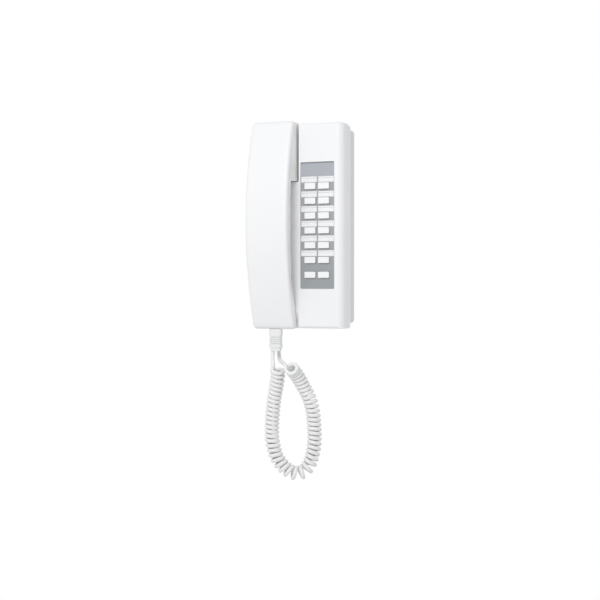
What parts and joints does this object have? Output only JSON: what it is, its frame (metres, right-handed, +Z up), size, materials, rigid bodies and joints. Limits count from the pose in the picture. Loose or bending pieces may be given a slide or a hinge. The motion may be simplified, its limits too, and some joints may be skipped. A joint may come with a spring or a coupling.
{
  "type": "audio intercom handset",
  "caption": "Wall-mounted audio intercom station: a shallow base with a call-key panel, a bowed handset hanging in a cradle, and a coiled cord joining them.",
  "frame": {"origin": "middle of the base's outline in the plane of the wall, midway between the two wall-screw holes", "axes": "+X to the right seen from the room, +Y into the wall, +Z up"},
  "size_m": [0.107, 0.0685, 0.3966],
  "materials": {
    "white_plastic": "fine satin moulded ABS, white",
    "key_plastic": "semi-gloss white keys",
    "grey_panel": "satin grey sheet",
    "label_card": "white card",
    "clear_window": "clear polished plastic",
    "circuit_board": "green solder mask",
    "dark_plastic": "moulded black",
    "speaker_steel": "dark pressed basket",
    "steel": "zinc-plated",
    "brass": "turned",
    "aluminium": "drawn can",
    "foam": "soft black foam and rubber",
    "cord_rubber": "soft white moulding",
    "cord_jacket": "soft white PVC jacket"
  },
  "bodies": {
    "base": {"front_cover": "white_plastic", "rear_case": "white_plastic", "wall_bracket": "steel", "key_panel": "grey_panel", "name_labels": "label_card", "label_windows": "clear_window", "main_board": "circuit_board", "key_switches": "dark_plastic", "board_parts": "dark_plastic", "terminal_block": "dark_plastic", "terminal_screws": "brass", "call_speaker": "speaker_steel", "hook_spring": "steel", "hook_switch": "dark_plastic", "cover_screws": "steel", "board_screws": "steel", "cord_bush": "cord_rubber", "curly_cord": "cord_jacket", "base_lead": "cord_jacket"},
    "handset": {"handset_front_shell": "white_plastic", "handset_rear_shell": "white_plastic", "earpiece_capsule": "dark_plastic", "earpiece_ring": "foam", "microphone_capsule": "aluminium", "microphone_holder": "foam", "handset_screws": "steel", "cord_boot": "cord_rubber", "handset_lead": "cord_jacket"},
    "hook": {"hook_plunger": "key_plastic"},
    "call_key_01_body": {"call_key_01": "key_plastic"},
    "call_key_02_body": {"call_key_02": "key_plastic"},
    "call_key_03_body": {"call_key_03": "key_plastic"},
    "call_key_04_body": {"call_key_04": "key_plastic"},
    "call_key_05_body": {"call_key_05": "key_plastic"},
    "call_key_06_body": {"call_key_06": "key_plastic"},
    "call_key_07_body": {"call_key_07": "key_plastic"},
    "call_key_08_body": {"call_key_08": "key_plastic"},
    "call_key_09_body": {"call_key_09": "key_plastic"},
    "call_key_10_body": {"call_key_10": "key_plastic"},
    "call_key_11_body": {"call_key_11": "key_plastic"},
    "call_key_12_body": {"call_key_12": "key_plastic"},
    "function_key_1_body": {"function_key_1": "key_plastic"},
    "function_key_2_body": {"function_key_2": "key_plastic"}
  },
  "joints": [
    {"name": "handset_lift", "type": "slide", "parent": "base", "child": "handset", "axis": [0, -0.866, 0.5], "range_m": [0, 0.08], "deforming": ["curly_cord", "handset_lead"]},
    {"name": "hook_travel", "type": "slide", "parent": "base", "child": "hook", "axis": [0, -1, 0], "range_m": [0, 0.003], "deforming": ["hook_spring"]},
    {"name": "call_key_01_press", "type": "slide", "parent": "base", "child": "call_key_01_body", "axis": [0, 1, 0], "range_m": [0, 0.0013], "stiffness_N_per_m": 400},
    {"name": "call_key_02_press", "type": "slide", "parent": "base", "child": "call_key_02_body", "axis": [0, 1, 0], "range_m": [0, 0.0013], "stiffness_N_per_m": 400},
    {"name": "call_key_03_press", "type": "slide", "parent": "base", "child": "call_key_03_body", "axis": [0, 1, 0], "range_m": [0, 0.0013], "stiffness_N_per_m": 400},
    {"name": "call_key_04_press", "type": "slide", "parent": "base", "child": "call_key_04_body", "axis": [0, 1, 0], "range_m": [0, 0.0013], "stiffness_N_per_m": 400},
    {"name": "call_key_05_press", "type": "slide", "parent": "base", "child": "call_key_05_body", "axis": [0, 1, 0], "range_m": [0, 0.0013], "stiffness_N_per_m": 400},
    {"name": "call_key_06_press", "type": "slide", "parent": "base", "child": "call_key_06_body", "axis": [0, 1, 0], "range_m": [0, 0.0013], "stiffness_N_per_m": 400},
    {"name": "call_key_07_press", "type": "slide", "parent": "base", "child": "call_key_07_body", "axis": [0, 1, 0], "range_m": [0, 0.0013], "stiffness_N_per_m": 400},
    {"name": "call_key_08_press", "type": "slide", "parent": "base", "child": "call_key_08_body", "axis": [0, 1, 0], "range_m": [0, 0.0013], "stiffness_N_per_m": 400},
    {"name": "call_key_09_press", "type": "slide", "parent": "base", "child": "call_key_09_body", "axis": [0, 1, 0], "range_m": [0, 0.0013], "stiffness_N_per_m": 400},
    {"name": "call_key_10_press", "type": "slide", "parent": "base", "child": "call_key_10_body", "axis": [0, 1, 0], "range_m": [0, 0.0013], "stiffness_N_per_m": 400},
    {"name": "call_key_11_press", "type": "slide", "parent": "base", "child": "call_key_11_body", "axis": [0, 1, 0], "range_m": [0, 0.0013], "stiffness_N_per_m": 400},
    {"name": "call_key_12_press", "type": "slide", "parent": "base", "child": "call_key_12_body", "axis": [0, 1, 0], "range_m": [0, 0.0013], "stiffness_N_per_m": 400},
    {"name": "function_key_1_press", "type": "slide", "parent": "base", "child": "function_key_1_body", "axis": [0, 1, 0], "range_m": [0, 0.0013], "stiffness_N_per_m": 400},
    {"name": "function_key_2_press", "type": "slide", "parent": "base", "child": "function_key_2_body", "axis": [0, 1, 0], "range_m": [0, 0.0013], "stiffness_N_per_m": 400}
  ],
  "couplings": [
    {"joint": "hook_travel", "follows": "handset_lift", "ratio": 0.0375}
  ]
}
